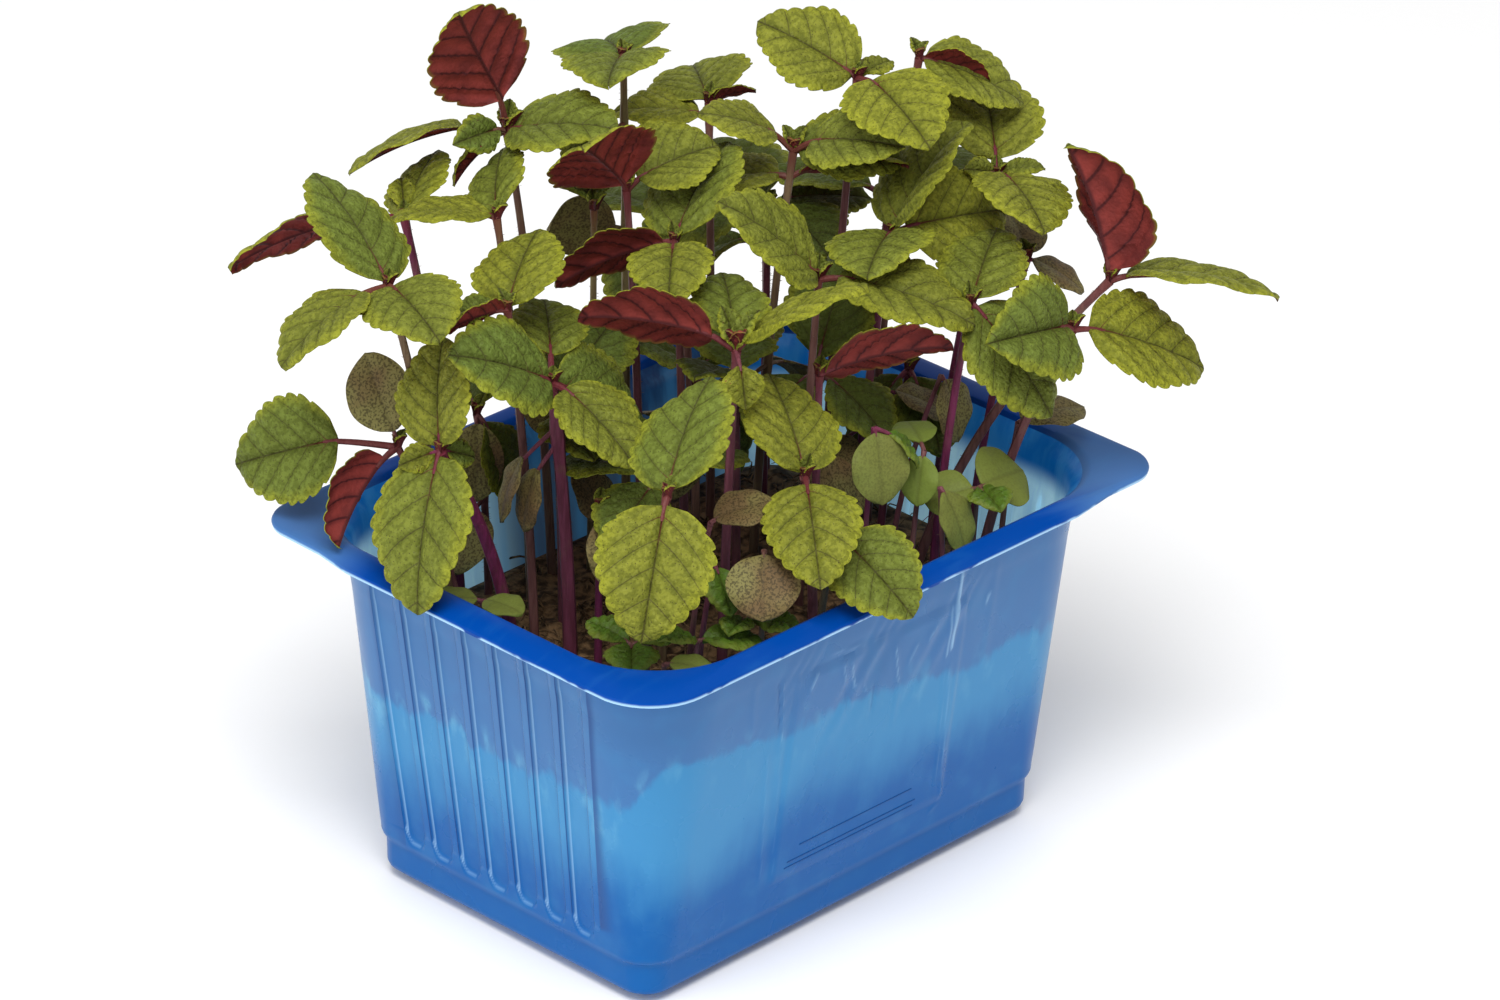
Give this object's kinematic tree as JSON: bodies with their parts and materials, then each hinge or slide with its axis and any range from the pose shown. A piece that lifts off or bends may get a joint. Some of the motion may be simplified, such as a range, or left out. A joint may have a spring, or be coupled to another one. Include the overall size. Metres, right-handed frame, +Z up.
{
  "type": "potted shiso",
  "caption": "Shiso cress growing in a rectangular thermoformed plastic punnet with a flat flange, fluted ends and two eared corners.",
  "frame": {"origin": "the middle of the punnet's footprint, on the flat underside of its raised foot", "axes": "+Z up; X along the punnet's long side; the eared corners are at -X +Y and +X -Y"},
  "size_m": [0.1616, 0.1286, 0.161],
  "materials": {
    "tub_plastic": "satin, slightly see-through thermoformed sheet",
    "growing_medium": "rough fibre",
    "shiso": "matte leaf",
    "seedling": "matte leaf"
  },
  "bodies": {
    "root": {"growing_medium": "growing_medium", "seedling_01": "seedling", "seedling_02": "seedling", "seedling_03": "seedling", "seedling_04": "seedling", "seedling_05": "seedling", "seedling_06": "seedling", "seedling_07": "seedling", "seedling_08": "seedling", "seedling_09": "seedling", "seedling_10": "seedling", "seedling_11": "seedling", "seedling_12": "seedling", "seedling_13": "seedling", "seedling_14": "seedling", "seedling_15": "seedling", "shiso_01": "shiso", "shiso_02": "shiso", "shiso_03": "shiso", "shiso_04": "shiso", "shiso_05": "shiso", "shiso_06": "shiso", "shiso_07": "shiso", "shiso_08": "shiso", "shiso_09": "shiso", "shiso_10": "shiso", "shiso_11": "shiso", "shiso_12": "shiso", "shiso_13": "shiso", "shiso_14": "shiso", "shiso_15": "shiso", "shiso_16": "shiso", "shiso_17": "shiso", "shiso_18": "shiso", "shiso_19": "shiso", "shiso_20": "shiso", "shiso_21": "shiso", "shiso_22": "shiso", "shiso_23": "shiso", "shiso_24": "shiso", "shiso_25": "shiso", "shiso_26": "shiso", "shiso_27": "shiso", "shiso_28": "shiso", "shiso_29": "shiso", "shiso_30": "shiso", "shiso_31": "shiso", "shiso_32": "shiso", "shiso_33": "shiso", "shiso_34": "shiso", "shiso_35": "shiso", "shiso_36": "shiso", "shiso_37": "shiso", "shiso_38": "shiso", "shiso_39": "shiso", "tub": "tub_plastic"}
  },
  "joints": []
}
